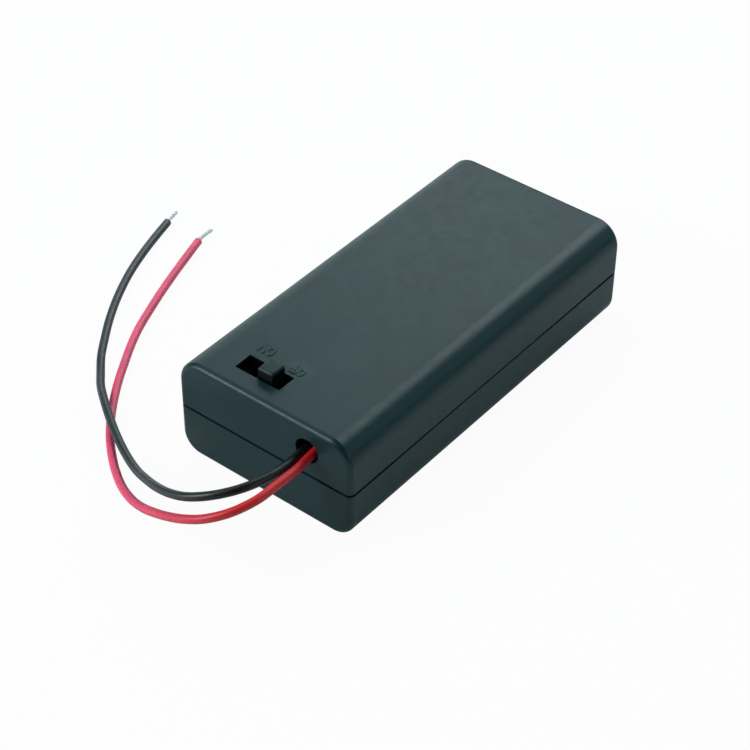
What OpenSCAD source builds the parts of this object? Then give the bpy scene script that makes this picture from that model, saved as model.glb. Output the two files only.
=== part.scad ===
// Closed holder for two cylindrical cells lying side by side: a case with a roof slide switch,
// a cover that slides off the underside, sprung contacts and two stripped leads.
// Frame: X across the cells, Y along them with the switch end at -Y, Z up.
// The cover's flat underside lies on z = 0, centred on the origin. Millimetres.

/* [Cells] */
// Diameter of one cell
cell_d = 14.5; // [13.8:0.1:15.2]
// Length of one cell
cell_l = 50.5; // [46:0.5:54]
// Room across the pair of cells
cell_side_play = 0.4; // [0.2:0.1:1]
// Room above and below a cell
cell_head_play = 0.4; // [0.2:0.1:1]
// Room along a bay for the contacts and the pressed spring
contact_room = 6.1; // [5.5:0.1:8]

/* [Case] */
// Side and end walls of the case
wall = 1.9; // [1.7:0.1:2.6]
// Thickness of the roof
roof_t = 1.6; // [1.2:0.1:2.2]
// Height of the parting line
seam_z = 8.85; // [8.2:0.05:9.6]
// Width of the groove along the parting line
seam_gap = 0.4; // [0.2:0.05:0.5]
// Radius along the two long upper edges
top_r = 4.2; // [3:0.1:5]
// Radius of the end edges and the upright corners
end_r = 1; // [0.6:0.1:1.5]
// Thickness of the wall between the switch bay and the cells
partition_t = 1.2; // [0.8:0.1:2]
// Thickness of the rib between the two cells
divider_t = 1.2; // [0.8:0.1:1.6]
// Thickness of the ribs that hold the contact plates
retainer_t = 0.8; // [0.6:0.1:1.2]
// Overlap of a rib over the edge of its contact plate
retainer_lap = 0.7; // [0.4:0.1:1]

/* [Cover] */
// Side and front walls of the cover
cover_wall = 1; // [0.8:0.05:1.2]
// Thickness of the cover's floor
cover_floor_t = 1.5; // [1.2:0.1:2]
// Radius along the two long lower edges
cover_r = 3.5; // [3:0.1:4.4]
// Inward lean of the cover's side walls, in degrees
cover_draft = 0.2; // [0:0.2:2]
// Clearance between the cover and the case
cover_gap = 0.1; // [0.05:0.01:0.15]
// Hooks on each side of the cover
hook_count = 3; // [2:1:3]
// Length of one hook
hook_l = 5; // [4:0.5:6]
// Height of one hook
hook_h = 1; // [0.8:0.1:1.2]
// Drop of a hook's top below the parting line
hook_drop = 1.4; // [1.2:0.1:1.8]
// Clearance round a hook in its slot
hook_play = 0.15; // [0.1:0.01:0.2]
// Distance the cover slides before its hooks are free
cover_travel = 7; // [6.5:0.5:7.5]
// Height of the stiffening rib inside the cover
cover_rib_h = 3; // [2:0.1:3.4]
// Number of thumb grooves in the underside
grip_count = 5; // [3:1:8]
// Spacing of the thumb grooves
grip_pitch = 2; // [1.8:0.1:3]
// Length of a thumb groove
grip_l = 12; // [8:1:18]
// Depth of a thumb groove
grip_depth = 0.35; // [0.2:0.05:0.5]
// Radius of a thumb groove's round floor
grip_r = 0.9; // [0.6:0.1:1.2]

/* [Switch] */
// Length of the bay that holds the switch
switch_bay_l = 7.2; // [6.6:0.1:9]
// Sideways place of the switch
switch_x = -4.2; // [-5:0.1:-3.6]
// Length of the slot in the roof
slot_l = 8.5; // [7.5:0.1:9.5]
// Width of the slot in the roof
slot_w = 3.4; // [3.2:0.1:4]
// Length of the knob along its travel
knob_l = 2.9; // [2.4:0.1:3.4]
// Width of the knob
knob_w = 2.9; // [2.4:0.1:3]
// Height of the knob above the roof
knob_rise = 1.9; // [1:0.1:3]
// Bevel round the knob's top
knob_bevel = 0.3; // [0.1:0.05:0.5]
// Travel of the knob, which is also the spacing of the terminals
switch_travel = 2.7; // [2.4:0.1:2.9]
// Sheet thickness of the switch frame
can_t = 0.4; // [0.3:0.05:0.5]
// Width of the switch frame
can_w = 5.4; // [5:0.1:6]
// Height of the switch frame
can_h = 4.6; // [4.4:0.1:5.2]
// Width of a mounting ear
ear_w = 4; // [3:0.1:4.6]
// Diameter of the plastic posts through the ears
post_d = 1.6; // [1.2:0.1:1.7]
// Diameter of a post's melted head
post_head_d = 2.6; // [2.2:0.1:2.8]
// Height of a post's melted head
post_head_h = 0.5; // [0.3:0.1:0.8]
// Width of the tabs bent under the switch's base
foot_w = 1.1; // [0.9:0.1:1.3]
// Clearance of the slider and of parts that pass through sheet
slide_gap = 0.1; // [0.05:0.01:0.15]
// Thickness of the switch's insulating base
base_t = 1.2; // [0.8:0.1:1.4]
// Length of the slider's body
slider_l = 6.6; // [6.4:0.1:7]
// Width of the slider's body
slider_w = 4; // [3.6:0.1:4.2]
// Sheet thickness of the sliding contact
clip_t = 0.25; // [0.2:0.05:0.3]
// Width of the sliding contact
clip_w = 1.8; // [1.4:0.1:2.2]
// Radius of the sliding contact's two bows
clip_r = 0.7; // [0.6:0.05:0.75]
// Width of a terminal
terminal_w = 1.2; // [0.8:0.1:1.3]
// Thickness of a terminal
terminal_t = 0.4; // [0.3:0.05:0.5]
// Length of a terminal below the base
terminal_l = 3.2; // [2.8:0.1:3.2]
// Thickness of a terminal's contact face
terminal_face_t = 0.2; // [0.15:0.05:0.25]
// Diameter of the eye in a terminal
terminal_eye_d = 0.7; // [0.5:0.1:0.8]

/* [Contacts] */
// Sheet thickness of the contact plates
plate_t = 0.3; // [0.2:0.05:0.4]
// Clearance round the contact plates
plate_gap = 0.1; // [0.05:0.05:0.2]
// Width of one front contact plate
plate_w = 10.5; // [9.5:0.1:11]
// Height of the contact plates' lower edge above the cover's floor
plate_lift = 1.5; // [1:0.1:1.8]
// Room between the contact plates and the roof
plate_head = 0.5; // [0.4:0.1:1]
// Radius of the pressed button on a positive contact
button_r = 2.6; // [2:0.1:3]
// Height of the pressed button
button_h = 1.2; // [0.8:0.1:1.5]
// Width of the solder tabs
tab_h = 2.2; // [2.2:0.1:3]
// Length of the solder tabs
tab_l = 7; // [6.8:0.1:7.2]
// Wire diameter of the contact springs
spring_wire_d = 0.8; // [0.5:0.05:0.9]
// Radius of a spring's wide end, to the wire's middle
spring_base_r = 3.6; // [3:0.1:4.4]
// Radius of a spring's narrow end, to the wire's middle
spring_tip_r = 2.2; // [1.6:0.1:2.6]
// Free length of a spring
spring_l = 8.2; // [7:0.1:10]
// Turns of a spring
spring_turns = 4.5; // [4:0.5:6]

/* [Leads] */
// Diameter of an insulated lead
lead_d = 1.4; // [1.2:0.1:1.6]
// Diameter of the bare strands at a lead's end
strand_d = 0.8; // [0.5:0.1:1]
// Sideways place of the lead hole
lead_hole_x = 8.4; // [8:0.1:8.8]
// Height of the lead hole
lead_hole_z = 13.5; // [13.1:0.1:13.9]
// Diameter of the lead hole
lead_hole_d = 4.2; // [4.2:0.1:5]
// Drop of the leads below the middle of the lead hole
lead_drop = 0.5; // [0:0.1:0.5]
// Diameter of a solder bead
solder_d = 2.1; // [1.8:0.1:2.4]
// Height of a solder bead between its two flats
solder_h = 1.3; // [1:0.1:1.4]

/* [Hidden] */
$fn = 48;

// Depth by which joined shapes run into each other, and by which cuts run past a face
lap = 0.2;
past = 1;

// Inside of the case
bay_half = cell_d + cell_side_play / 2;
bay_l = cell_l + contact_room;
cell_x = bay_half / 2;
cell_z = cover_floor_t + (cell_d + cell_head_play) / 2;
roof_z = cover_floor_t + cell_d + cell_head_play;
inner_r = top_r - roof_t;

// Outside of the case
case_w = 2 * (bay_half + wall);
case_h = roof_z + roof_t;
case_l = 2 * wall + switch_bay_l + partition_t + bay_l;
front_y = -case_l / 2;
back_y = case_l / 2;

// Stations along the case
switch_front_y = front_y + wall;
switch_back_y = switch_front_y + switch_bay_l;
switch_y = (switch_front_y + switch_back_y) / 2;
bay_front_y = switch_back_y + partition_t;
bay_back_y = back_y - wall;

// Parting line, and the skirt of the case inside the cover
seam_lo = seam_z - seam_gap / 2;
seam_hi = seam_z + seam_gap / 2;
cover_half = case_w / 2 - cover_wall;
cover_inner_r = cover_r - cover_floor_t;
skirt_half = cover_half - cover_gap;
skirt_z = cover_floor_t + cover_inner_r + 4 * cover_gap;

// Hooks of the cover, and the slots in the skirt that hold them
hook_top_z = seam_z - hook_drop;
hook_pitch = bay_l / hook_count;
hook_y = [for (i = [0 : hook_count - 1])
    bay_front_y + (i + 0.5) * hook_pitch + (cover_travel - hook_l) / 2];

// Contact plates
plate_z = cover_floor_t + plate_lift;
plate_h = roof_z - plate_head - plate_z;
plate_outer_x = cell_x + plate_w / 2;
plate_inner_x = cell_x - plate_w / 2;
plate_front_y = bay_front_y + plate_t;
plate_back_y = bay_back_y - plate_t;
retainer_front_y = plate_front_y + plate_gap;
retainer_back_y = plate_back_y - plate_gap;
divider_z = cell_z + sqrt(pow(cell_d / 2, 2) - pow(cell_x - divider_t / 2, 2)) + cell_head_play;

// Slide switch, from the roof downwards
window_l = knob_l + switch_travel + 4 * slide_gap;
window_w = knob_w + 3 * slide_gap;
can_l = slider_l + switch_travel + 2 * (slide_gap + can_t);
can_z = roof_z - can_h;
ear_l = post_head_d + slide_gap;
ear_x = can_l / 2 + ear_l / 2;
base_top_z = can_z + base_t;
face_z = base_top_z + terminal_face_t;
clip_z = face_z + slide_gap / 2 + clip_r;
slider_top_z = roof_z - can_t - slide_gap;
slider_x = switch_x + switch_travel / 2;
pocket_l = switch_travel + 2 * clip_r + 1.2;
pocket_w = clip_w + 2 * slide_gap;
knob_z = case_h + knob_rise;
terminal_end_z = can_z - terminal_l;

// Middle lines of the solder tabs, and the inner faces that the leads are soldered to
tab_face_x = plate_outer_x - plate_t;
tab_mid_z = plate_z + tab_h / 2;

// Joints where the leads are soldered: on the ends of the terminals and on the solder tabs
red_joint = [switch_x, switch_y, terminal_end_z - solder_h];
jumper_joint = red_joint - [switch_travel, 0, 0];
plus_joint = [solder_h - tab_face_x, switch_y, tab_mid_z];
minus_joint = [tab_face_x - solder_h, bay_front_y - tab_l + solder_d / 2, tab_mid_z];

// Places of the two leads in the lead hole
red_exit = [lead_hole_x + (lead_d + cover_gap) / 2, front_y, lead_hole_z - lead_drop];
black_exit = red_exit - [lead_d + cover_gap, 0, 0];

// Inner stretches of the leads, from a joint and towards the lead hole
red_start = [for (p = [[0, 0, 0], [0, 0, -0.8], [1.2, 0.1, -3.1], [3.6, 0.3, -3.9], [7.2, 0.6, -3.9]])
    red_joint + p];
red_rise = [for (p = [[-3, 6.4, -9.3], [-0.8, 6.4, -8], [0, 6.4, -5.6], [0, 6.2, -3], [0, 4.8, -0.8], [0, 2.4, 0]])
    red_exit + p];
black_start = [for (p = [[0, 0, 0], [-0.6, 0, 0]]) minus_joint + p];
black_rise = [for (p = [[0.9, 4.2, -7.9], [0, 4.1, -5.6], [0, 3.8, -2.6], [0, 2.4, -0.4]]) black_exit + p];
jumper_route = [for (p = [[0, 0, 0], [0, 0, -0.5], [-0.8, 0, -2.3]]) jumper_joint + p, plus_joint + [1.6, 0, 0],
                plus_joint];

// Outer stretches: sideways and forward of the hole, and the share of the hole's height that is left
red_fall = [
    [0, 0, 1], [0.3, -3.6, 1], [0.2, -7.6, 1], [-0.2, -11.7, 0.98], [-2.1, -15, 0.896],
    [-5.1, -17.1, 0.77], [-8.7, -17.7, 0.623], [-12.2, -17.4, 0.467], [-15.7, -16.7, 0.311],
    [-19.2, -15.8, 0.172], [-22.7, -14.6, 0.066], [-26.2, -13, 0.008], [-29.6, -10.9, 0],
    [-32.8, -8.4, 0], [-35.6, -5.8, 0], [-38.3, -2.8, 0], [-41, 0.7, 0], [-43.6, 4.5, 0],
    [-45.9, 8.3, 0], [-48.1, 12.1, 0], [-50.1, 16.1, 0], [-51.8, 20.3, 0], [-53.4, 24.5, 0],
    [-54.9, 28.8, 0], [-56.3, 33.1, 0], [-58.3, 39.5, 0]];
black_fall = [
    [0, 0, 1], [0.1, -3.6, 1], [-0.4, -7.6, 1], [-2, -11.5, 0.984], [-4.8, -14.2, 0.91],
    [-8.4, -15.5, 0.787], [-12.2, -15.3, 0.648], [-15.9, -14.3, 0.508], [-19.4, -12.9, 0.377],
    [-22.9, -11.3, 0.258], [-26.4, -9.5, 0.175], [-29.9, -7.6, 0.14], [-33.3, -5.6, 0.132],
    [-36.7, -3.4, 0.132], [-39.9, -1.1, 0.1], [-42.9, 1.3, 0.045], [-45.6, 4, 0.006],
    [-48.3, 6.9, 0], [-51, 10.5, 0], [-53.6, 14.2, 0], [-56, 18.1, 0], [-58.1, 22, 0],
    [-60, 26.1, 0], [-61.6, 30.3, 0], [-63, 34.6, 0], [-64.6, 40.2, 0]];
function laid(exit, fall) =
    [for (p = fall) [exit.x + p.x, exit.y + p.y, lead_d / 2 + p.z * (exit.z - lead_d / 2)]];
red_route = concat(red_start, red_rise, laid(red_exit, red_fall));
black_route = concat(black_start, black_rise, laid(black_exit, black_fall));

// Ends of the bare strands, from the ends of the insulation
red_tip_end = [-0.4, 3.9, 0];
black_tip_end = [-0.8, 3.2, 0];

// Tube through a list of points: each ring's normal is carried on from the ring before
function unit(v) = v / norm(v);
function heading(path, i) = unit(path[min(i + 1, len(path) - 1)] - path[max(i - 1, 0)]);
function carried(normal, along) = unit(normal - (normal * along) * along);
function normals(path, i, last) =
    i == len(path) ? [] :
    let (normal = carried(last, heading(path, i)))
    concat([normal], normals(path, i + 1, normal));
function ring(centre, along, normal, r, sides) =
    let (across = cross(along, normal))
    [for (k = [0 : sides - 1])
        let (angle = 360 * (k + 0.5) / sides)
        centre + r * (cos(angle) * normal + sin(angle) * across)];

// Bare strands leave the insulation straight, then bend a little
function tip_route(route, reach) =
    let (last = len(route) - 1)
    [route[last], route[last] + strand_d * heading(route, last), route[last] + reach];

module tube(path, d, sides = 8) {
    facing = normals(path, 0, [0, 1, 0]);
    skin([for (i = [0 : len(path) - 1]) ring(path[i], heading(path, i), facing[i], d / 2, sides)]);
}

// Closed solid through rings of equally many points, with flat ends
module skin(rings) {
    sides = len(rings[0]);
    last = (len(rings) - 1) * sides;
    walls = [for (i = [0 : len(rings) - 2], k = [0 : sides - 1])
        let (a = i * sides + k, b = i * sides + (k + 1) % sides)
        each [[a, b + sides, b], [a, a + sides, b + sides]]];
    first_cap = [for (k = [0 : sides - 1]) k];
    last_cap = [for (k = [sides - 1 : -1 : 0]) last + k];
    polyhedron([for (r = rings) each r], concat([first_cap], walls, [last_cap]));
}

// Block between two corners
module block(low, high) {
    translate(low) cube(high - low);
}

// Turns an outline drawn across (x) and up (y) into a bar from y0 to y1
module along_y(y0, y1) {
    translate([0, y1, 0]) rotate([90, 0, 0]) linear_extrude(y1 - y0) children();
}

// Ring of a half shell at one station: flat below, its two upper corners rounded by r
function shell_ring(y, inset, h, r, lean) =
    let (corner_x = case_w / 2 - r - lean, foot_x = case_w / 2 - inset)
    concat(
        [[foot_x, y, 0]],
        [for (turn = [0 : 6 : 90]) [corner_x + (r - inset) * cos(turn), y, h - r + (r - inset) * sin(turn)]],
        [for (turn = [90 : 6 : 180]) [-corner_x + (r - inset) * cos(turn), y, h - r + (r - inset) * sin(turn)]],
        [[-foot_x, y, 0]]);

// Half shell standing on z = 0: its long edges rounded by r, its ends and upright corners by end_r
module rounded_bar(h, r, lean = 0) {
    stations = [for (end = [1, -1], turn = end > 0 ? [0 : 15 : 90] : [90 : -15 : 0])
        [end * (case_l / 2 - end_r * (1 - cos(turn))), end_r * (1 - sin(turn))]];
    skin([for (s = stations) shell_ring(s[0], s[1], h, r, lean)]);
}

// Section of the cell bays, open below
module bay_section(grow = 0) {
    half = bay_half + grow;
    r = inner_r + grow;
    top = roof_z + grow;
    translate([-half, 0]) square([2 * half, top - r]);
    translate([-half + r, 0]) square([2 * (half - r), top]);
    for (side = [-1, 1]) translate([side * (half - r), top - r]) circle(r);
}

// Everything outside the case below the parting line: only its skirt and its lower end wall stay
module below_seam() {
    r = cover_inner_r - cover_gap;
    low = cover_floor_t + cover_gap;
    difference() {
        block([-case_w, -case_l, low - past], [case_w, case_l, seam_hi]);
        block([-skirt_half, front_y + cover_wall + cover_gap, skirt_z], [skirt_half, back_y - wall / 2, seam_hi + past]);
        along_y(bay_back_y, back_y + past) {
            translate([-skirt_half, low + r]) square([2 * skirt_half, seam_hi + past - low - r]);
            translate([-skirt_half + r, low]) square([2 * (skirt_half - r), r + lap]);
            for (side = [-1, 1]) translate([side * (skirt_half - r), low + r]) circle(r);
        }
    }
}

// Slot in the skirt for one hook: level along the travel, open downwards at its front end
module hook_slot(y) {
    front = y - cover_travel - hook_play;
    low = hook_top_z - hook_h - hook_play;
    high = hook_top_z + hook_play;
    for (side = [-1, 1]) {
        inner = side > 0 ? bay_half - lap : -skirt_half - lap;
        outer = inner + skirt_half - bay_half + 2 * lap;
        block([inner, front, low], [outer, y + hook_l + hook_play, high]);
        block([inner, front, skirt_z - past], [outer, front + hook_l + 2 * hook_play, high]);
    }
}

// Wall between the switch bay and the cells, notched for the two solder tabs
module partition() {
    difference() {
        along_y(switch_back_y, bay_front_y) intersection() {
            bay_section(lap);
            translate([-bay_half - past, skirt_z]) square([2 * (bay_half + past), roof_z]);
        }
        for (side = [-1, 1]) {
            middle = side * (tab_face_x + plate_t / 2);
            reach = plate_t / 2 + plate_gap;
            block([middle - reach, switch_back_y - past, skirt_z - past],
                  [middle + reach, bay_front_y + past, plate_z + tab_h + plate_gap]);
        }
    }
}

// Ribs that trap the edges of the contact plates against the partition and the end wall
module retainers() {
    for (side = [-1, 1], y = [retainer_front_y, retainer_back_y - retainer_t]) {
        edge = side * (plate_outer_x - retainer_lap);
        wall_face = side * (bay_half + lap);
        block([min(edge, wall_face), y, skirt_z], [max(edge, wall_face), y + retainer_t, roof_z - inner_r]);
    }
    web = plate_inner_x - plate_gap;
    cap = plate_inner_x + retainer_lap;
    block([-web, bay_front_y - lap, skirt_z], [web, retainer_front_y + lap, roof_z + lap]);
    block([-cap, retainer_front_y, skirt_z], [cap, retainer_front_y + retainer_t, roof_z + lap]);
}

// Post from the roof through an ear of the switch, with its end melted over
module switch_post() {
    head_z = roof_z - can_t - post_head_h;
    translate([0, 0, head_z]) cylinder(d = post_d, h = roof_z + lap - head_z);
    translate([0, 0, head_z]) cylinder(d1 = post_d + lap, d2 = post_head_d, h = post_head_h);
}

// Hollow of the case, round its partition, ribs and posts
module case_hollow() {
    difference() {
        along_y(switch_front_y, bay_back_y) bay_section();
        partition();
        retainers();
        block([-divider_t / 2, retainer_front_y, divider_z], [divider_t / 2, retainer_back_y, roof_z + lap]);
        for (side = [-1, 1]) translate([switch_x + side * ear_x, switch_y, 0]) switch_post();
    }
}

module case() {
    color([0.14, 0.17, 0.18]) difference() {
        translate([0, 0, cover_floor_t]) rounded_bar(case_h - cover_floor_t, top_r);
        below_seam();
        case_hollow();
        for (y = hook_y) hook_slot(y);
        translate([switch_x - slot_l / 2, switch_y - slot_w / 2, roof_z - past])
            cube([slot_l, slot_w, roof_t + 2 * past]);
        translate([lead_hole_x, front_y - past, lead_hole_z])
            rotate([-90, 0, 0]) cylinder(d = lead_hole_d, h = wall + 2 * past);
    }
}

// Hollow of the cover, open above and at the far end, round its hooks and its rib
module cover_hollow() {
    difference() {
        along_y(front_y + cover_wall, back_y + past) cover_section();
        for (side = [-1, 1], y = hook_y) {
            wall_face = side * (cover_half + lap);
            nose = side * (bay_half + cover_gap);
            block([min(wall_face, nose), y, hook_top_z - hook_h], [max(wall_face, nose), y + hook_l, hook_top_z]);
        }
        block([-divider_t / 2, retainer_front_y + retainer_t + cover_travel + cover_wall, cover_floor_t - lap],
              [divider_t / 2, retainer_back_y - retainer_t, cover_floor_t + cover_rib_h]);
    }
}

// Inside of the cover across its length, open above
module cover_section() {
    top = seam_lo + past;
    translate([-cover_half, cover_floor_t + cover_inner_r])
        square([2 * cover_half, top - cover_floor_t - cover_inner_r]);
    translate([-cover_half + cover_inner_r, cover_floor_t])
        square([2 * (cover_half - cover_inner_r), cover_inner_r + lap]);
    for (side = [-1, 1])
        translate([side * (cover_half - cover_inner_r), cover_floor_t + cover_inner_r]) circle(cover_inner_r);
}

module battery_cover() {
    color([0.12, 0.15, 0.16]) difference() {
        translate([0, 0, seam_lo]) mirror([0, 0, 1]) rounded_bar(seam_lo, cover_r, seam_lo * tan(cover_draft));
        cover_hollow();
        for (i = [0 : grip_count - 1])
            translate([-grip_l / 2, bay_front_y + (i + 1) * grip_pitch, grip_depth - grip_r])
                rotate([0, 90, 0]) cylinder(r = grip_r, h = grip_l);
    }
}

// Drawn steel frame: a box open below, two ears against the roof and four tabs bent under the base
module switch_frame() {
    outer = [can_l, can_w, can_h - can_t];
    inner = outer - [2 * can_t, 2 * can_t, 0];
    color([0.2, 0.21, 0.22]) translate([switch_x, switch_y, 0]) difference() {
        union() {
            difference() {
                translate([-can_l / 2, -can_w / 2, can_z]) cube([can_l, can_w, can_h]);
                translate([-inner.x / 2, -inner.y / 2, can_z - past]) cube([inner.x, inner.y, inner.z + past]);
            }
            translate([-can_l / 2 - ear_l, -ear_w / 2, roof_z - can_t]) cube([can_l + 2 * ear_l, ear_w, can_t]);
            for (x = [-1, 1], y = [-1, 1])
                translate([x * (switch_travel + terminal_w) - foot_w / 2, y * (can_w - foot_w) / 2 - foot_w / 2,
                           can_z - can_t])
                    cube([foot_w, foot_w, can_t]);
        }
        translate([-window_l / 2, -window_w / 2, roof_z - can_t - past]) cube([window_l, window_w, can_t + 2 * past]);
        translate([-inner.x / 2, -inner.y / 2, can_z]) cube([inner.x, inner.y, inner.z]);
        for (side = [-1, 1])
            translate([side * ear_x, 0, roof_z - can_t - past])
                cylinder(d = post_d + slide_gap, h = can_t + 2 * past);
    }
}

module switch_base() {
    length = can_l - 2 * can_t - slide_gap;
    width = can_w - 2 * can_t - slide_gap;
    color([0.5, 0.3, 0.16]) translate([switch_x, switch_y, can_z]) difference() {
        translate([-length / 2, -width / 2, 0]) cube([length, width, base_t]);
        for (i = [-1 : 1])
            translate([i * switch_travel - (terminal_w + slide_gap) / 2, -(terminal_t + slide_gap) / 2, -past])
                cube([terminal_w + slide_gap, terminal_t + slide_gap, base_t + 2 * past]);
    }
}

// Knob and body of the slider, shown pushed to the off end
module switch_slider() {
    color([0.1, 0.11, 0.12]) translate([slider_x, switch_y, 0]) {
        difference() {
            translate([-slider_l / 2, -slider_w / 2, clip_z - clip_r / 2])
                cube([slider_l, slider_w, slider_top_z - clip_z + clip_r / 2]);
            translate([-pocket_l / 2, -pocket_w / 2, clip_z - clip_r])
                cube([pocket_l, pocket_w, clip_r]);
        }
        bevelled_post(knob_l, knob_w, slider_top_z - lap, knob_z, knob_bevel);
    }
}

// Upright post whose top edges are bevelled
module bevelled_post(l, w, low, high, bevel) {
    intersection() {
        rotate([90, 0, 0]) linear_extrude(w, center = true) bevelled_outline(l, low, high, bevel);
        rotate([90, 0, 90]) linear_extrude(l, center = true) bevelled_outline(w, low, high, bevel);
    }
}

module bevelled_outline(w, low, high, bevel) {
    polygon([[-w / 2, low], [w / 2, low], [w / 2, high - bevel], [w / 2 - bevel, high],
             [-w / 2 + bevel, high], [-w / 2, high - bevel]]);
}

// Spring-brass strip with two bows that bridge neighbouring terminals
module switch_contact_clip() {
    reach = switch_travel / 2 + clip_r;
    color([0.8, 0.62, 0.3]) translate([slider_x, switch_y - clip_w / 2, 0])
        along_y(0, clip_w) difference() {
            union() {
                translate([-reach - clip_t, clip_z - clip_t]) square([2 * (reach + clip_t), clip_t]);
                for (side = [-1, 1]) translate([side * switch_travel / 2, clip_z]) lower_half_disc(clip_r);
            }
            for (side = [-1, 1]) translate([side * switch_travel / 2, clip_z]) circle(clip_r - clip_t);
        }
}

module lower_half_disc(r) {
    intersection() {
        circle(r);
        translate([-r, -r]) square([2 * r, r]);
    }
}

// Terminal: a contact face on the base and a leg with an eye below it
module switch_terminal(place) {
    color([0.78, 0.78, 0.76]) translate([switch_x + place * switch_travel, switch_y, 0]) {
        translate([-terminal_w / 2, -clip_w / 2, base_top_z]) cube([terminal_w, clip_w, terminal_face_t]);
        along_y(-terminal_t / 2, terminal_t / 2) difference() {
            translate([-terminal_w / 2, terminal_end_z])
                square([terminal_w, base_top_z + terminal_face_t / 2 - terminal_end_z]);
            translate([0, terminal_end_z + terminal_w]) circle(d = terminal_eye_d);
        }
    }
}

// Front contact plate, its outer edge bent forward through the partition as a solder tab
module front_plate(side) {
    outer = side * plate_outer_x;
    inner = side * plate_inner_x;
    tab = side * tab_face_x;
    block([min(outer, inner), bay_front_y, plate_z], [max(outer, inner), plate_front_y, plate_z + plate_h]);
    block([min(outer, tab), bay_front_y - tab_l, plate_z], [max(outer, tab), plate_front_y, plate_z + tab_h]);
}

// Pressed button with a rounded rim, raised along +Y from its plate
module button() {
    rotate([-90, 0, 0]) rotate_extrude() {
        square([button_r - button_h / 2, button_h]);
        square([button_r, button_h / 2]);
        translate([button_r - button_h / 2, button_h / 2]) circle(button_h / 2);
    }
}

module contact_plate_positive() {
    color([0.8, 0.8, 0.78]) {
        front_plate(-1);
        translate([-cell_x, plate_front_y - plate_t / 2, cell_z]) button();
    }
}

module contact_plate_negative() {
    color([0.8, 0.8, 0.78]) front_plate(1);
}

// Plate across the far end that joins the two cells: a button for one, a spring's seat for the other
module bridge_plate() {
    color([0.8, 0.8, 0.78]) {
        block([-plate_outer_x, plate_back_y, plate_z], [plate_outer_x, bay_back_y, plate_z + plate_h]);
        translate([cell_x, plate_back_y + plate_t / 2, cell_z]) mirror([0, 1, 0]) button();
    }
}

// Centre line of a conical spring along +Y, its end turns laid closer
function coil_rise(u) = u - 0.06 * sin(360 * u);
function coil(steps_per_turn) =
    let (steps = spring_turns * steps_per_turn)
    [for (i = [0 : steps])
        let (u = i / steps,
             r = spring_base_r + (spring_tip_r - spring_base_r) * u,
             angle = 360 * spring_turns * u)
        [r * cos(angle), spring_wire_d / 2 + (spring_l - spring_wire_d) * coil_rise(u), r * sin(angle)]];

module contact_spring() {
    color([0.82, 0.82, 0.8]) tube(coil(14), spring_wire_d);
}

module spring_negative() {
    translate([cell_x, plate_front_y, cell_z]) contact_spring();
}

module spring_bridge() {
    translate([-cell_x, plate_back_y, cell_z]) mirror([0, 1, 0]) contact_spring();
}

// Solder bead: a ball with two flats square to its axis, standing on z = 0
module solder_bead() {
    color([0.7, 0.72, 0.74]) intersection() {
        translate([0, 0, solder_h / 2]) sphere(d = solder_d);
        translate([0, 0, solder_h / 2]) cube([solder_d, solder_d, solder_h], center = true);
    }
}

module terminal_bead(place) {
    translate([switch_x + place * switch_travel, switch_y, terminal_end_z - solder_h]) solder_bead();
}

module tab_bead(side, y) {
    translate([side * tab_face_x, y, tab_mid_z]) rotate([0, -90 * side, 0]) solder_bead();
}

module jumper_lead() {
    color([0.75, 0.12, 0.2]) tube(jumper_route, 0.8 * lead_d);
}

module red_lead() {
    color([0.8, 0.13, 0.25]) tube(red_route, lead_d);
}

module black_lead() {
    color([0.08, 0.1, 0.1]) tube(black_route, lead_d);
}

module red_lead_tip() {
    color([0.85, 0.82, 0.8]) tube(tip_route(red_route, red_tip_end), strand_d);
}

module black_lead_tip() {
    color([0.85, 0.84, 0.82]) tube(tip_route(black_route, black_tip_end), strand_d);
}

case();
battery_cover();
switch_frame();
switch_base();
switch_slider();
switch_contact_clip();
switch_terminal(-1);  // switch_terminal_on
switch_terminal(0);  // switch_terminal_common
switch_terminal(1);  // switch_terminal_off
contact_plate_positive();
contact_plate_negative();
bridge_plate();
spring_negative();
spring_bridge();
jumper_lead();
red_lead();
black_lead();
red_lead_tip();
black_lead_tip();
terminal_bead(0);  // solder_red_lead
terminal_bead(-1);  // solder_jumper_switch
tab_bead(-1, plus_joint.y);  // solder_jumper_plate
tab_bead(1, minus_joint.y);  // solder_black_lead
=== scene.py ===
"""Looks of a closed holder for two cylindrical cells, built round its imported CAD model.

Everything is in metres in the model's frame: X across the cells, Y along them, Z up.
"""
from math import cos, pi, radians, sin, sqrt

import bpy
from mathutils import Matrix, Vector, noise


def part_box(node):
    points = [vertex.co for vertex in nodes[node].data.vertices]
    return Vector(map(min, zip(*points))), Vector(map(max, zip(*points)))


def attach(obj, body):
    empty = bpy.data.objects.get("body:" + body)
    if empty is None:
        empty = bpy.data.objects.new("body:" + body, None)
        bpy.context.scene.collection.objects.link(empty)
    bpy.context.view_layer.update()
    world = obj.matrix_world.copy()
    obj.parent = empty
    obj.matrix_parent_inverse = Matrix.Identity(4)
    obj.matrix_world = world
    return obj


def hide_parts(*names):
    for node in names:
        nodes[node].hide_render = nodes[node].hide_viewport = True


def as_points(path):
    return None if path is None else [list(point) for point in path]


MM = 0.001
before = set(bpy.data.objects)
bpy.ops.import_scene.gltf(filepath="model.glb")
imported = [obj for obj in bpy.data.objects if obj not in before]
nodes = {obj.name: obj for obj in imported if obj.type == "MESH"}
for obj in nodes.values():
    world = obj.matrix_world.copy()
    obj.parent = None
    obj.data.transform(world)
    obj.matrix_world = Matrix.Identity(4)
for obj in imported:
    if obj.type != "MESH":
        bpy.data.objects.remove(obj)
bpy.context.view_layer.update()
roof_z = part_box("case")[1].z


# ---------------------------------------------------------------- camera

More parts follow.
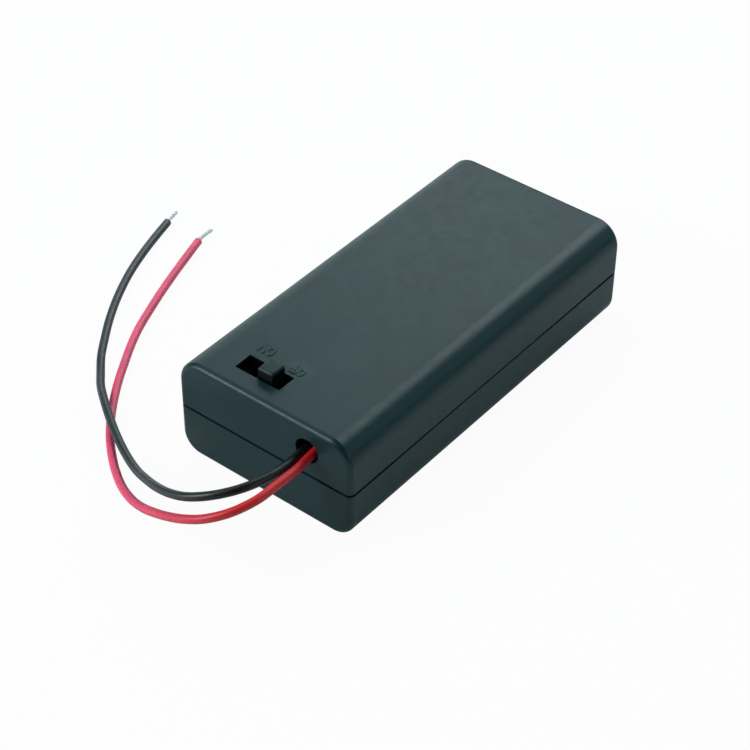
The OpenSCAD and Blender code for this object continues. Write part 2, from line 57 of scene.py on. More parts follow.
AZIMUTH, ELEVATION, ROLL = radians(38.271), radians(40.677), radians(0.515)
LENS, SENSOR = 103.72, 36
TARGET = Vector((0, 0, 9.5)) * MM
# Millimetres from the target to the camera: backwards, to its right and upwards
AWAY, ASIDE, ABOVE = 338.593, -5.006, -6.869


def add_camera():
    back = Vector((sin(AZIMUTH) * cos(ELEVATION), -cos(AZIMUTH) * cos(ELEVATION), sin(ELEVATION)))
    right = (-back).cross(Vector((0, 0, 1))).normalized()
    up = right.cross(-back)
    right, up = right * cos(ROLL) + up * sin(ROLL), up * cos(ROLL) - right * sin(ROLL)
    place = TARGET + (back * AWAY + right * ASIDE + up * ABOVE) * MM
    data = bpy.data.cameras.new("camera")
    data.sensor_width = SENSOR
    data.lens = LENS
    data.clip_start, data.clip_end = 0.01, 20
    camera = bpy.data.objects.new("camera", data)
    camera.matrix_world = Matrix((
        (right.x, up.x, back.x, place.x),
        (right.y, up.y, back.y, place.y),
        (right.z, up.z, back.z, place.z),
        (0, 0, 0, 1)))
    bpy.context.scene.collection.objects.link(camera)
    bpy.context.scene.camera = camera


add_camera()


# ---------------------------------------------------------------- shapes

def new_mesh(name, verts, faces):
    mesh = bpy.data.meshes.new(name)
    mesh.from_pydata(verts, [], faces)
    mesh.validate()
    return mesh


def add_piece(name, mesh, smooth=True):
    """Visible piece that rides on the holder."""
    obj = bpy.data.objects.new(name, mesh)
    bpy.context.scene.collection.objects.link(obj)
    if smooth:
        for face in mesh.polygons:
            face.use_smooth = True
    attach(obj, "holder")
    return obj


def smooth_line(points, step):
    """Points every step metres along a smooth curve through the given ones, ends included,
    and the curve's length. The curve is a centripetal Catmull-Rom spline."""
    substeps = 24
    pts = [points[0] * 2 - points[1]] + points + [points[-1] * 2 - points[-2]]
    fine = []
    for i in range(1, len(pts) - 2):
        p0, p1, p2, p3 = pts[i - 1:i + 3]
        t0, t1 = 0.0, sqrt((p1 - p0).length)
        t2 = t1 + sqrt((p2 - p1).length)
        t3 = t2 + sqrt((p3 - p2).length)
        for k in range(substeps):
            t = t1 + (t2 - t1) * k / substeps
            a1 = p0 * ((t1 - t) / (t1 - t0)) + p1 * ((t - t0) / (t1 - t0))
            a2 = p1 * ((t2 - t) / (t2 - t1)) + p2 * ((t - t1) / (t2 - t1))
            a3 = p2 * ((t3 - t) / (t3 - t2)) + p3 * ((t - t2) / (t3 - t2))
            b1 = a1 * ((t2 - t) / (t2 - t0)) + a2 * ((t - t0) / (t2 - t0))
            b2 = a2 * ((t3 - t) / (t3 - t1)) + a3 * ((t - t1) / (t3 - t1))
            fine.append(b1 * ((t2 - t) / (t2 - t1)) + b2 * ((t - t1) / (t2 - t1)))
    fine.append(points[-1])
    run = [0.0]
    for a, b in zip(fine, fine[1:]):
        run.append(run[-1] + (b - a).length)
    count = max(2, round(run[-1] / step))
    even, j = [], 0
    for i in range(count + 1):
        want = run[-1] * i / count
        while j < len(run) - 2 and run[j + 1] < want:
            j += 1
        share = (want - run[j]) / max(run[j + 1] - run[j], 1e-12)
        even.append(fine[j].lerp(fine[j + 1], min(1.0, share)))
    return even, run[-1]


def frames_along(line, start=Vector((0, 1, 0))):
    """Direction, normal and binormal at each point, carried on without twist."""
    made = []
    normal = start
    for i in range(len(line)):
        along = (line[min(i + 1, len(line) - 1)] - line[max(i - 1, 0)]).normalized()
        normal = (normal - along * normal.dot(along)).normalized()
        made.append((along, normal, along.cross(normal)))
    return made


def ring(centre, normal, across, radius, sides):
    turns = [2 * pi * k / sides for k in range(sides)]
    return [centre + (normal * cos(a) + across * sin(a)) * radius for a in turns]


def skin(base, rings, sides):
    """Faces of a closed tube through rings of corners, the first of which is corner base."""
    faces = []
    for i in range(rings - 1):
        for k in range(sides):
            n = (k + 1) % sides
            faces.append((base + i * sides + k, base + i * sides + n,
                          base + (i + 1) * sides + n, base + (i + 1) * sides + k))
    faces.append(tuple(base + k for k in reversed(range(sides))))
    faces.append(tuple(base + (rings - 1) * sides + k for k in range(sides)))
    return faces


def tube_mesh(name, line, radius, sides, ends=()):
    """Tube round a line. radius is a number or a function of the index. ends are extra rings
    (shift along, radius) that close the tube's two ends with a rounded edge."""
    frames = frames_along(line)
    rings = []
    for i, (point, (along, normal, across)) in enumerate(zip(line, frames)):
        rings.append((point, normal, across, radius(i) if callable(radius) else radius))
    first, last = frames[0], frames[-1]
    for shift, r in ends:
        rings.insert(0, (line[0] - first[0] * shift, first[1], first[2], r))
        rings.append((line[-1] + last[0] * shift, last[1], last[2], r))
    verts = [corner for row in rings for corner in ring(*row, sides)]
    return new_mesh(name, verts, skin(0, len(rings), sides))


# ---------------------------------------------------------------- leads

LEAD_D, STRAND_D, JUMPER_D = 1.4 * MM, 0.8 * MM, 1.12 * MM

# Routes in millimetres: those of the part's source, with its offsets added up and rounded
RED = [
    (-4.2, -28.9, 7.3), (-4.2, -28.9, 6.5), (-3, -28.8, 4.2), (-0.6, -28.6, 3.4), (3, -28.3, 3.4),
    (6.15, -28, 3.7), (8.35, -28, 5), (9.15, -28, 7.4), (9.15, -28.2, 10), (9.15, -29.6, 12.2),
    (9.15, -32, 13), (9.15, -34.4, 13), (9.45, -38, 13), (9.35, -42, 13), (8.95, -46.1, 12.75),
    (7.05, -49.4, 11.7), (4.05, -51.5, 10.2), (0.45, -52.1, 8.35), (-3.05, -51.8, 6.45),
    (-6.55, -51.1, 4.55), (-10.05, -50.2, 2.8), (-13.55, -49, 1.5), (-17.05, -47.4, 0.8),
    (-20.45, -45.3, 0.7), (-23.65, -42.8, 0.7), (-26.45, -40.2, 0.7), (-29.15, -37.2, 0.7),
    (-31.85, -33.7, 0.7), (-34.45, -29.9, 0.7), (-36.75, -26.1, 0.7), (-38.95, -22.3, 0.7),
    (-40.95, -18.3, 0.7), (-42.65, -14.1, 0.7), (-44.25, -9.9, 0.7), (-45.75, -5.6, 0.7),
    (-47.15, -1.3, 0.7), (-49.15, 5.1, 0.7)]
BLACK = [
    (11, -30.05, 4.1), (10.4, -30.05, 4.1), (8.55, -30.2, 5.1), (7.65, -30.3, 7.4), (7.65, -30.6, 10.4),
    (7.65, -32, 12.6), (7.65, -34.4, 13), (7.75, -38, 13), (7.25, -42, 13), (5.65, -45.9, 12.8),
    (2.85, -48.6, 11.9), (-0.75, -49.9, 10.4), (-4.55, -49.7, 8.65), (-8.25, -48.7, 6.95),
    (-11.75, -47.3, 5.35), (-15.25, -45.7, 3.85), (-18.75, -43.9, 2.85), (-22.25, -42, 2.4),
    (-25.65, -40, 2.3), (-29.05, -37.8, 2.3), (-32.25, -35.5, 1.95), (-35.25, -33.1, 1.25),
    (-37.95, -30.4, 0.75), (-40.65, -27.5, 0.7), (-43.35, -23.9, 0.7), (-45.95, -20.2, 0.7),
    (-48.35, -16.3, 0.7), (-50.45, -12.4, 0.7), (-52.35, -8.3, 0.7), (-53.95, -4.1, 0.7),
    (-55.35, 0.2, 0.7), (-56.95, 5.8, 0.7)]
JUMPER = [
    (-6.9, -28.9, 7.3), (-6.9, -28.9, 6.8), (-7.7, -28.9, 5), (-9.4, -28.9, 4.1), (-11, -28.9, 4.1)]
RED_TIP = [(-49.15, 5.1, 0.7), (-49.4, 5.9, 0.7), (-49.55, 9, 0.7)]
BLACK_TIP = [(-56.95, 5.8, 0.7), (-57.2, 6.6, 0.7), (-57.75, 9, 0.7)]


def metres(points):
    return [Vector(p) * MM for p in points]


def add_lead(name, route, diameter):
    """Insulated lead whose wall is a little uneven, with rounded cut ends."""
    line, length = smooth_line(metres(route), 0.35 * MM)
    r = diameter / 2

    def radius(i):
        if i in (0, len(line) - 1):
            return r * 0.97
        return r * (0.985 + 0.012 * noise.noise(line[i] * 180))

    mesh = tube_mesh(name, line, radius, 24, ends=[(0.03 * MM, r * 0.9)])
    return add_piece(name, mesh), line, length


def add_strands(name, route, diameter, seed):
    """Stripped end: a core and six strands twisted round it, which part a little at the tip."""
    step, lay, outer, sides = 0.12 * MM, 3.4 * MM, 6, 8
    line, _ = smooth_line(metres(route), step)
    frames = frames_along(line)
    strand_r = diameter / 7.2
    layout = [(0.0, 0.0, 1.0)]
    for k in range(outer):
        reach = 1.0 - 0.03 * ((k * 7 + seed) % 4)
        layout.append((strand_r * 2.02, 2 * pi * k / outer, reach))
    verts, faces = [], []
    for orbit, phase, reach in layout:
        steps = max(3, int(len(line) * reach))
        centres = []
        for i in range(steps):
            _, normal, across = frames[i]
            turn = phase + 2 * pi * i * step / lay
            open_up = 1 + 0.12 * (i / len(line)) ** 3
            centres.append(line[i] + (normal * cos(turn) + across * sin(turn)) * orbit * open_up)
        local = frames_along(centres)
        rings = [(centres[i], *local[i][1:], strand_r) for i in range(steps)]
        along, normal, across = local[-1]
        rings.append((centres[-1] + along * strand_r * 0.5, normal, across, strand_r * 0.6))
        faces += skin(len(verts), len(rings), sides)
        for row in rings:
            verts += ring(*row, sides)
    return add_piece(name, new_mesh(name, verts, faces))


red_lead, red_line, red_length = add_lead("lead_red", RED, LEAD_D)
black_lead, black_line, black_length = add_lead("lead_black", BLACK, LEAD_D)
jumper, _, _ = add_lead("lead_jumper", JUMPER, JUMPER_D)
red_tip = add_strands("strands_red", RED_TIP, STRAND_D, 1)
black_tip = add_strands("strands_black", BLACK_TIP, STRAND_D, 2)
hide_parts("red_lead")
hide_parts("black_lead")
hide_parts("jumper_lead")
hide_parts("red_lead_tip")
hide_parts("black_lead_tip")
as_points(red_line)
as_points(black_line)


# ---------------------------------------------------------------- springs

# Middle of a cell bay: across the holder from its middle, and above the surface
BAY_X, SPRING_Z = 7.35 * MM, 8.95 * MM


def add_spring(name, centre_x, base_y, way):
    """Conical contact spring whose end turns lie closer and whose wire ends are cut flat."""
    wire_d, base_r, tip_r, length, turns = 0.8 * MM, 3.6 * MM, 2.2 * MM, 8.2 * MM, 4.5
    steps = int(turns * 48)
    line = []
    for i in range(steps + 1):
        u = i / steps
        rise = u - 0.06 * sin(2 * pi * u)
        r = base_r + (tip_r - base_r) * u
        a = 2 * pi * turns * u
        y = base_y + way * (wire_d / 2 + (length - wire_d) * rise)
        line.append(Vector((centre_x + r * cos(a), y, SPRING_Z + r * sin(a))))
    return add_piece(name, tube_mesh(name, line, wire_d / 2 * 0.99, 14))


spring_front = add_spring("coil_negative", BAY_X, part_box("spring_negative")[0].y, 1)
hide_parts("spring_negative")
spring_far = add_spring("coil_bridge", -BAY_X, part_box("spring_bridge")[1].y, -1)
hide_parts("spring_bridge")


# ---------------------------------------------------------------- solder

def add_solder(name, node, axis, seed):
    """Solder bead: a wetted foot that draws up to a rounded crown."""
    low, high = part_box(node)
    centre, size = (low + high) / 2, high - low
    height = size.dot(Vector([abs(a) for a in axis]))
    wide = max(size) / 2
    away = Vector(axis)
    side = away.orthogonal().normalized()
    other = away.cross(side)
    rows, cols = 12, 20
    verts = []
    for i in range(rows + 1):
        u = i / rows
        r = wide * sqrt(max(0.0, 1 - (2 * u - 1) ** 2 * 0.62)) * (1.0 if u > 0.02 else 0.98)
        for k in range(cols):
            a = 2 * pi * k / cols
            swell = 1 + 0.05 * noise.noise(Vector((cos(a) * 2 + seed, sin(a) * 2, u * 3)))
            verts.append(centre + away * height * (u - 0.5)
                         + (side * cos(a) + other * sin(a)) * r * swell * 0.97)
    obj = add_piece(name, new_mesh(name, verts, skin(0, rows + 1, cols)))
    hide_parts(node)
    return obj


beads = [
    add_solder("bead_red", "solder_red_lead", (0, 0, -1), 1),
    add_solder("bead_jumper_switch", "solder_jumper_switch", (0, 0, -1), 5),
    add_solder("bead_jumper_plate", "solder_jumper_plate", (1, 0, 0), 9),
    add_solder("bead_black", "solder_black_lead", (-1, 0, 0), 13)]


# ---------------------------------------------------------------- raised words by the switch

WORD_RISE = 0.12 * MM
# Half the depth of a letter and the size of its bevel, before it is brought to size
LETTER_EXTRUDE, LETTER_BEVEL = 0.5, 0.04


def letter_z(z):
    """Height of a letter's corner: its top stands above the roof and the rest is sunk in it."""
    if z > LETTER_EXTRUDE + LETTER_BEVEL / 2:
        return roof_z + WORD_RISE
    return roof_z - (0.01 if z > 0 else 0.05) * MM


def add_word(name, word, low, high):
    """Raised word on the roof between two corners, to be read from the far end."""
    data = bpy.data.curves.new(name, "FONT")
    data.body = word
    data.extrude = LETTER_EXTRUDE
    data.offset = 0.012
    data.bevel_depth = LETTER_BEVEL
    data.resolution_u = 6
    temp = bpy.data.objects.new(name + "_text", data)
    bpy.context.scene.collection.objects.link(temp)
    bpy.context.view_layer.update()
    mesh = bpy.data.meshes.new_from_object(temp.evaluated_get(bpy.context.evaluated_depsgraph_get()))
    bpy.data.objects.remove(temp)
    xs = [v.co.x for v in mesh.vertices]
    ys = [v.co.y for v in mesh.vertices]
    for v in mesh.vertices:
        x = (v.co.x - min(xs)) / (max(xs) - min(xs))
        y = (v.co.y - min(ys)) / (max(ys) - min(ys))
        v.co = (high[0] - x * (high[0] - low[0]), high[1] - y * (high[1] - low[1]), letter_z(v.co.z))
    mesh.name = name
    return add_piece(name, mesh, smooth=False)


word_on = add_word("word_on", "ON", (-8.5 * MM, -25.9 * MM), (-5.8 * MM, -23.6 * MM))
word_off = add_word("word_off", "OFF", (-1.75 * MM, -26.5 * MM), (0.7 * MM, -24.6 * MM))


# ---------------------------------------------------------------- edges of the CAD nodes

# Edges sharper than this are rounded and stay sharp in the shading
EDGE_ANGLE = radians(32)


def shading_group(name, merge=0, angle=0):
    """Geometry nodes that weld corners closer than merge metres, or shade a mesh smooth except
    across edges sharper than angle."""
    group = bpy.data.node_groups.new(name, "GeometryNodeTree")
    group.interface.new_socket("Geometry", in_out="INPUT", socket_type="NodeSocketGeometry")
    group.interface.new_socket("Geometry", in_out="OUTPUT", socket_type="NodeSocketGeometry")
    add, link = group.nodes.new, group.links.new
    source, sink = add("NodeGroupInput"), add("NodeGroupOutput")
    last = source.outputs[0]
    if merge:
        drop = add("GeometryNodeRemoveAttribute")
        drop.inputs["Name"].default_value = "custom_normal"
        link(last, drop.inputs["Geometry"])
        weld = add("GeometryNodeMergeByDistance")
        weld.inputs["Distance"].default_value = merge
        link(drop.outputs["Geometry"], weld.inputs["Geometry"])
        last = weld.outputs["Geometry"]
    if angle:
        faces = add("GeometryNodeSetShadeSmooth")
        faces.domain = "FACE"
        link(last, faces.inputs["Geometry"])
        edges = add("GeometryNodeSetShadeSmooth")
        edges.domain = "EDGE"
        edges.inputs["Shade Smooth"].default_value = False
        measure = add("GeometryNodeInputMeshEdgeAngle")
        compare = add("FunctionNodeCompare")
        compare.operation = "GREATER_THAN"
        compare.inputs[1].default_value = angle
        link(measure.outputs["Unsigned Angle"], compare.inputs[0])
        link(faces.outputs["Geometry"], edges.inputs["Geometry"])
        link(compare.outputs["Result"], edges.inputs["Selection"])
        last = edges.outputs["Geometry"]
    link(last, sink.inputs[0])
    return group


WELD = shading_group("weld", merge=0.002 * MM)
SOFTEN = shading_group("soften", angle=EDGE_ANGLE)


def soften(obj, width):
    """Welds a CAD node, joins its flat triangles, rounds its sharp edges and shades it smooth."""
    weld = obj.modifiers.new("weld", "NODES")
    weld.node_group = WELD
    flat = obj.modifiers.new("flat", "DECIMATE")
    flat.decimate_type = "DISSOLVE"
    flat.angle_limit = radians(0.8)
    if width:
        bevel = obj.modifiers.new("bevel", "BEVEL")
        bevel.width = width
        bevel.segments = 2
        bevel.limit_method = "ANGLE"
        bevel.angle_limit = EDGE_ANGLE
        bevel.use_clamp_overlap = True
        bevel.harden_normals = False
        bevel.miter_outer = "MITER_ARC"
    smooth = obj.modifiers.new("smooth", "NODES")
    smooth.node_group = SOFTEN
    if width:
        weight = obj.modifiers.new("weight", "WEIGHTED_NORMAL")
        weight.keep_sharp = True
        weight.weight = 60


# Width of each node's rounded edges in millimetres
EDGES = {
    "case": 0.12, "battery_cover": 0.12, "switch_slider": 0.12, "switch_frame": 0.06,
    "switch_base": 0.05, "switch_contact_clip": 0, "switch_terminal_on": 0.04,
    "switch_terminal_common": 0.04, "switch_terminal_off": 0.04, "contact_plate_positive": 0.05,
    "contact_plate_negative": 0.05, "bridge_plate": 0.05}
for name, width in EDGES.items():
    soften(nodes[name], width * MM)


# ---------------------------------------------------------------- materials

# The frame's own materials make way for those below
for imported in list(bpy.data.materials):
    bpy.data.materials.remove(imported)


class Shader:
    """A small helper round one Principled material and its nodes."""

    def __init__(self, name):
        self.material = bpy.data.materials.new(name)
        self.material.use_nodes = True
        self.tree = self.material.node_tree
        self.main = self.tree.nodes["Principled BSDF"]
        self.place = self.node("ShaderNodeTexCoord").outputs["Object"]
        self.axes = self.node("ShaderNodeSeparateXYZ").outputs
        self.link(self.place, self.axes["X"].node.inputs[0])

    def node(self, kind, **values):
        made = self.tree.nodes.new(kind)
        for key, value in values.items():
            setattr(made, key, value)
        return made

    def link(self, a, b):
        self.tree.links.new(a, b)

    def noise(self, scale, detail=3.0, rough=0.55, stretch=None):
        made = self.node("ShaderNodeTexNoise")
        made.inputs["Scale"].default_value = scale
        made.inputs["Detail"].default_value = detail
        made.inputs["Roughness"].default_value = rough
        place = self.place
        if stretch:
            mapping = self.node("ShaderNodeMapping")
            mapping.inputs["Scale"].default_value = stretch
            self.link(place, mapping.inputs["Vector"])
            place = mapping.outputs["Vector"]
        self.link(place, made.inputs["Vector"])
        return made.outputs["Fac"]

    def ramp(self, fac, stops):
        """stops are (place from 0 to 1, colour)."""
        made = self.node("ShaderNodeValToRGB")
        elements = made.color_ramp.elements
        while len(elements) < len(stops):
            elements.new(0.5)
        for element, (place, colour) in zip(elements, stops):
            element.position = place
            element.color = (*colour, 1)
        self.link(fac, made.inputs["Fac"])
        return made.outputs["Color"]

    def spread(self, fac, low, high, a=0.3, b=0.7):
        """low where fac is a or less, high where it is b or more, and even between them."""
        made = self.node("ShaderNodeMapRange")
        made.inputs["From Min"].default_value = a
        made.inputs["From Max"].default_value = b
        made.inputs["To Min"].default_value = low
        made.inputs["To Max"].default_value = high
        self.link(fac, made.inputs["Value"])
        return made.outputs["Result"]

    def math(self, operation, a, b):
        made = self.node("ShaderNodeMath", operation=operation)
        self.link(a, made.inputs[0])
        self.link(b, made.inputs[1])
        return made.outputs[0]

    def both(self, a, b):
        return self.math("MULTIPLY", a, b)

    def either(self, a, b):
        return self.math("MAXIMUM", a, b)

    def band(self, axis, low, high, soft):
        """1 where the place along an axis is between low and high, and 0 further off than soft."""
        return self.both(self.spread(self.axes[axis], 0, 1, low - soft, low),
                         self.spread(self.axes[axis], 1, 0, high, high + soft))

    def mix(self, fac, a, b):
        """a where fac is 0, the fixed colour b where it is 1."""
        made = self.node("ShaderNodeMix", data_type="RGBA")
        self.link(fac, made.inputs[0])
        self.link(a, made.inputs[6])
        made.inputs[7].default_value = (*b, 1)
        return made.outputs[2]

    def bumps(self, parts):
        """parts are (height output, strength, distance in metres), laid one over another."""
        normal = None
        for height, strength, distance in parts:
            made = self.node("ShaderNodeBump")
            made.inputs["Strength"].default_value = strength
            made.inputs["Distance"].default_value = distance
            self.link(height, made.inputs["Height"])
            if normal:
                self.link(normal, made.inputs["Normal"])
            normal = made.outputs["Normal"]
        self.link(normal, self.main.inputs["Normal"])

    def set(self, **values):
        for key, value in values.items():
            self.main.inputs[key.replace("_", " ")].default_value = value


def plastic(name, colour, rough, gloss=0.5, grain=0.012, dark=None, painted_highlight=None, pale=None):
    """Moulded plastic. dark(shader) gives the share of painted deep shade in its recesses,
    pale(shader) the share of painted fill light there, and the point given for the paler patch
    is the middle of a round painted highlight."""
    s = Shader(name)
    low = tuple(c * 0.86 for c in colour)
    high = tuple(c * 1.12 for c in colour)
    shade = s.ramp(s.noise(90, 4, 0.6), [(0.3, low), (0.7, high)])
    # Painted highlight: a round paler patch round the given point
    if painted_highlight:
        away = s.node("ShaderNodeVectorMath", operation="DISTANCE")
        s.link(s.place, away.inputs[0])
        away.inputs[1].default_value = painted_highlight
        patch = s.spread(away.outputs["Value"], 1, 0, *PAINTED_HIGHLIGHT_R)
        shade = s.mix(patch, shade, tuple(c * 1.3 + 0.006 for c in colour))
    # Painted shade: near-black where dark(shader) says
    if dark:
        shade = s.mix(dark(s), shade, tuple(c * 0.04 for c in colour))
    # Painted fill light: the FILLED colour where pale(shader) says
    if pale:
        shade = s.mix(pale(s), shade, FILLED)
    s.link(shade, s.main.inputs["Base Color"])
    s.link(s.spread(s.noise(700, 6, 0.7), rough - 0.06, rough + 0.06), s.main.inputs["Roughness"])
    s.set(Specular_IOR_Level=gloss)
    s.bumps([(s.noise(60, 2, 0.5), 0.16, 0.06 * MM), (s.noise(1400, 3, 0.6), 0.4, grain * MM),
             (s.noise(3600, 2, 0.5), 0.5, grain * MM)])
    return s.material


def metal(name, colour, rough, brushed=(1, 1, 1), scratch=0.004, metallic=1.0):
    """Bare metal. brushed is the density of its fine marks along X, Y and Z."""
    s = Shader(name)
    dark = tuple(c * 0.8 for c in colour)
    s.link(s.ramp(s.noise(220, 4, 0.6), [(0.3, dark), (0.7, colour)]), s.main.inputs["Base Color"])
    sheen = s.spread(s.noise(500, 4, 0.6, brushed), rough - 0.08, rough + 0.1)
    s.link(sheen, s.main.inputs["Roughness"])
    s.set(Metallic=metallic)
    s.bumps([(s.noise(2500, 3, 0.6, brushed), 0.5, scratch * MM)])
    return s.material


def insulation(name, colour, near, rough, gloss):
    """Insulation with painted shade near the hole, darker and deeper in colour there, and its own
    colour further out.
    """
    s = Shader(name)
    dark = tuple(c * 0.85 for c in colour)
    light = tuple(min(1, c * 1.08) for c in colour)
    shade = s.ramp(s.noise(260, 3, 0.5), [(0.3, dark), (0.7, light)])
    # Painted shade: the near colour towards the hole, fading out by X = -12 mm
    hole_shade = s.spread(s.axes["X"], 0, 1, -12 * MM, 7 * MM)
    s.link(s.mix(hole_shade, shade, near), s.main.inputs["Base Color"])
    s.link(s.spread(s.noise(700, 4, 0.6), rough - 0.05, rough + 0.07), s.main.inputs["Roughness"])
    s.set(Specular_IOR_Level=gloss)
    s.bumps([(s.noise(500, 2, 0.5), 0.12, 0.015 * MM)])
    return s.material


# Colour of painted fill light, and the distances between which the round patch of painted highlight
# fades out
FILLED = (0.058, 0.082, 0.086)
PAINTED_HIGHLIGHT_R = (1.2 * MM, 2.9 * MM)
# The switch's slot in the roof, and the height of the seam between case and cover
SLOT_X, SLOT_Y = (-8.55 * MM, 0.15 * MM), (-30.7 * MM, -27.1 * MM)
SEAM_Z = 8.85 * MM


def seam_shade(s):
    """Painted shade, deepest in the seam of the switch end, and fading along the sides."""
    groove = s.band("Z", SEAM_Z - 0.17 * MM, SEAM_Z + 0.17 * MM, 0.04 * MM)
    return s.both(groove, s.spread(s.axes["Y"], 1, 0, -32 * MM, -20 * MM))


def seam_fill_light(s):
    """Painted fill light that keeps the seam along the right side a faint line, but not where the open
    cover bares its faces.
    """
    groove = s.both(s.band("Z", SEAM_Z - 0.24 * MM, SEAM_Z + 0.24 * MM, 0.04 * MM),
                    s.spread(s.axes["X"], 0, 1, 15.0 * MM, 15.3 * MM))
    covered = s.both(s.spread(s.axes["Y"], 0, 1, -27.2 * MM, -12 * MM),
                     s.spread(s.axes["Y"], 1, 0, 12 * MM, 27.2 * MM))
    return s.both(groove, covered)


def slot_shade(s):
    """Painted shade on the walls of the switch's slot below its rim, and in the seam."""
    inside = s.both(s.band("X", *SLOT_X, 0.05 * MM), s.band("Y", *SLOT_Y, 0.05 * MM))
    below = s.spread(s.axes["Z"], 1, 0, roof_z - 0.3 * MM, roof_z - 0.06 * MM)
    return s.either(s.both(inside, below), seam_shade(s))


def knob_shade(s):
    """Painted shade on the knob below its top edge."""
    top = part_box("switch_slider")[1].z
    return s.spread(s.axes["Z"], 1, 0, top - 0.45 * MM, top - 0.05 * MM)


BLACK_ABS = (0.004, 0.027, 0.033)
# The case's round patch of painted highlight lies round the word OFF
CASE = plastic("case_plastic", BLACK_ABS, 0.37, 0.3, dark=slot_shade,
               painted_highlight=(-0.3 * MM, -25.4 * MM, roof_z), pale=seam_fill_light)
COVER = plastic("cover_plastic", BLACK_ABS, 0.37, 0.3, dark=seam_shade, pale=seam_fill_light)
KNOB = plastic("knob_plastic", (0.002, 0.022, 0.027), 0.42, 0.27, dark=knob_shade)
BLACKENED = metal("blackened_steel", (0.006, 0.007, 0.008), 0.5)
BOARD = plastic("insulating_board", (0.24, 0.12, 0.05), 0.6, 0.4)
BRASS = metal("spring_brass", (0.72, 0.52, 0.22), 0.3, (1, 12, 1))
TINNED = metal("tinned_metal", (0.72, 0.72, 0.70), 0.34, (1, 12, 1))
PLATED = metal("plated_steel", (0.74, 0.73, 0.70), 0.26, (14, 1, 1), 0.003)
SPRING = metal("spring_steel", (0.78, 0.77, 0.75), 0.2)
# The second colour of each insulation is its painted shade near the hole
RED_PVC = insulation("red_insulation", (0.92, 0.085, 0.19), (0.68, 0.014, 0.02), 0.42, 0.5)
BLACK_PVC = insulation(
    "black_insulation", (0.030, 0.039, 0.044), (0.002, 0.003, 0.003), 0.38, 0.5)
STRANDS = metal("tinned_copper", (1.0, 1.0, 0.99), 0.55, metallic=0.1)
SOLDER = metal("solder", (0.68, 0.69, 0.70), 0.24)

FINISH = {
    "case": CASE, "battery_cover": COVER, "switch_slider": KNOB, "switch_frame": BLACKENED,
    "switch_base": BOARD, "switch_contact_clip": BRASS, "switch_terminal_on": TINNED,
    "switch_terminal_common": TINNED, "switch_terminal_off": TINNED, "contact_plate_positive": PLATED,
    "contact_plate_negative": PLATED, "bridge_plate": PLATED}
for name, material in FINISH.items():
    mesh = nodes[name].data
    mesh.materials.clear()
    mesh.materials.append(material)

MADE = [
    (red_lead, RED_PVC), (black_lead, BLACK_PVC), (jumper, RED_PVC), (red_tip, STRANDS),
    (black_tip, STRANDS), (spring_front, SPRING), (spring_far, SPRING), (word_on, CASE),
    (word_off, CASE)]
MADE += [(bead, SOLDER) for bead in beads]
for obj, material in MADE:
    obj.data.materials.clear()
    obj.data.materials.append(material)


# ---------------------------------------------------------------- floor, world and lamps

FLOOR_HALF = 3.0
FLOOR_Z = -0.02 * MM  # clear of the underside, so that the two faces don't lie in one plane
FLOOR_GLOW = 0.95     # share of even white in the floor that the camera sees
FLOOR_GLOSS = 0.09    # share of that white in the floor's mirror image on the piece


def floor_material():
    """Matt floor that the camera sees as nearly even white, with the object's shadow kept."""
    material = bpy.data.materials.new("floor")
    material.use_nodes = True
    tree = material.node_tree
    tree.nodes.clear()
    add, link = tree.nodes.new, tree.links.new

    def math(operation, a, b):
        made = add("ShaderNodeMath")
        made.operation = operation
        link(a, made.inputs[0])
        if isinstance(b, float):
            made.inputs[1].default_value = b
        else:
            link(b, made.inputs[1])
        return made.outputs[0]

    def mixed(fac, a, b):
        made = add("ShaderNodeMixShader")
        if isinstance(fac, float):
            made.inputs["Fac"].default_value = fac
        else:
            link(fac, made.inputs["Fac"])
        link(a, made.inputs[1])
        link(b, made.inputs[2])
        return made.outputs[0]

    paint = add("ShaderNodeBsdfDiffuse")
    paint.inputs["Color"].default_value = (0.8, 0.8, 0.8, 1)
    glow = add("ShaderNodeEmission")
    glow.inputs["Color"].default_value = (1, 1, 1, 1)
    glow.inputs["Strength"].default_value = 1.0
    path = add("ShaderNodeLightPath").outputs
    gloss = math("MULTIPLY", path["Is Glossy Ray"], FLOOR_GLOSS)
    through = math("MAXIMUM", path["Is Transmission Ray"], gloss)
    seen = math("MAXIMUM", path["Is Camera Ray"], through)
    shown = mixed(FLOOR_GLOW, paint.outputs[0], glow.outputs[0])
    out = add("ShaderNodeOutputMaterial")
    link(mixed(seen, paint.outputs[0], shown), out.inputs["Surface"])
    return material


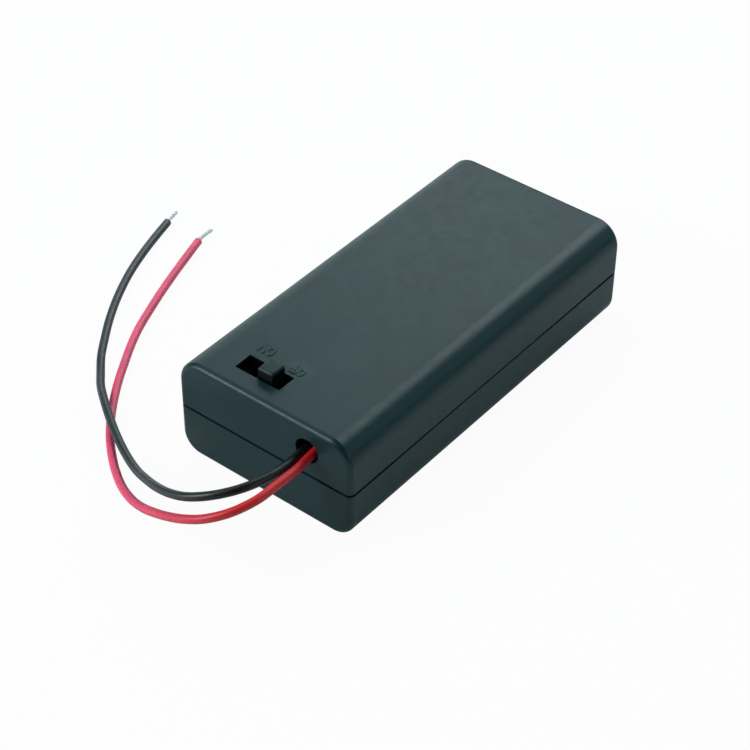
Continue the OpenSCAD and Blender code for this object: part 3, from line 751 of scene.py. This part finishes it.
def add_floor():
    corners = [(-1, -1), (1, -1), (1, 1), (-1, 1)]
    mesh = new_mesh("floor", [(x * FLOOR_HALF, y * FLOOR_HALF, FLOOR_Z) for x, y in corners],
                    [(0, 1, 2, 3)])
    mesh.materials.append(floor_material())
    floor = bpy.data.objects.new("floor", mesh)
    bpy.context.scene.collection.objects.link(floor)


def add_world():
    """Black surroundings, so that the lamps give all the light."""
    world = bpy.data.worlds.new("world")
    bpy.context.scene.world = world
    world.use_nodes = True
    background = world.node_tree.nodes["Background"].inputs
    background["Color"].default_value = (1, 1, 1, 1)
    background["Strength"].default_value = 0.0


COOL = (0.86, 0.985, 1.0)
TEAL = (0.58, 0.96, 1.0)
LAMP_DISTANCE = 0.8
LAMP_AIM = Vector((0, 0, 0.01))


def add_lamp(name, azimuth, elevation, power, size=(0.4, 0.4), colour=COOL):
    """Softbox round the object. Azimuth 0 is in front of the switch end, 90 on the right."""
    a, e = radians(azimuth), radians(elevation)
    place = Vector((sin(a) * cos(e), -cos(a) * cos(e), sin(e))) * LAMP_DISTANCE
    data = bpy.data.lights.new(name, "AREA")
    data.shape = "RECTANGLE"
    data.size, data.size_y = size
    data.energy = power
    data.color = colour
    lamp = bpy.data.objects.new(name, data)
    bpy.context.scene.collection.objects.link(lamp)
    lamp.location = place
    lamp.rotation_mode = "QUATERNION"
    lamp.rotation_quaternion = (LAMP_AIM - place).to_track_quat("-Z", "Y")


add_floor()
add_world()
add_lamp("lamp_back", 180, 42, 2.68, (0.4, 0.6))
add_lamp("lamp_back_middle", 205, 40, 0.7)
add_lamp("lamp_back_left", 225, 28, 0.85)
add_lamp("lamp_front_left", 315, 22, 2.35)
add_lamp("lamp_front_left_high", 325, 38, 2.4, (0.25, 0.25))
add_lamp("lamp_left_high", 275, 60, 0.75)
add_lamp("lamp_back_left_low", 236, 5, 0.3, (0.4, 0.16))
add_lamp("lamp_back_right", 135, 25, 0.47, colour=TEAL)
add_lamp("lamp_back_high", 166, 52, 0.3, (0.25, 0.25))
add_lamp("lamp_right", 90, 22, 0.83, colour=TEAL)

bpy.context.scene.view_settings.view_transform = "Standard"
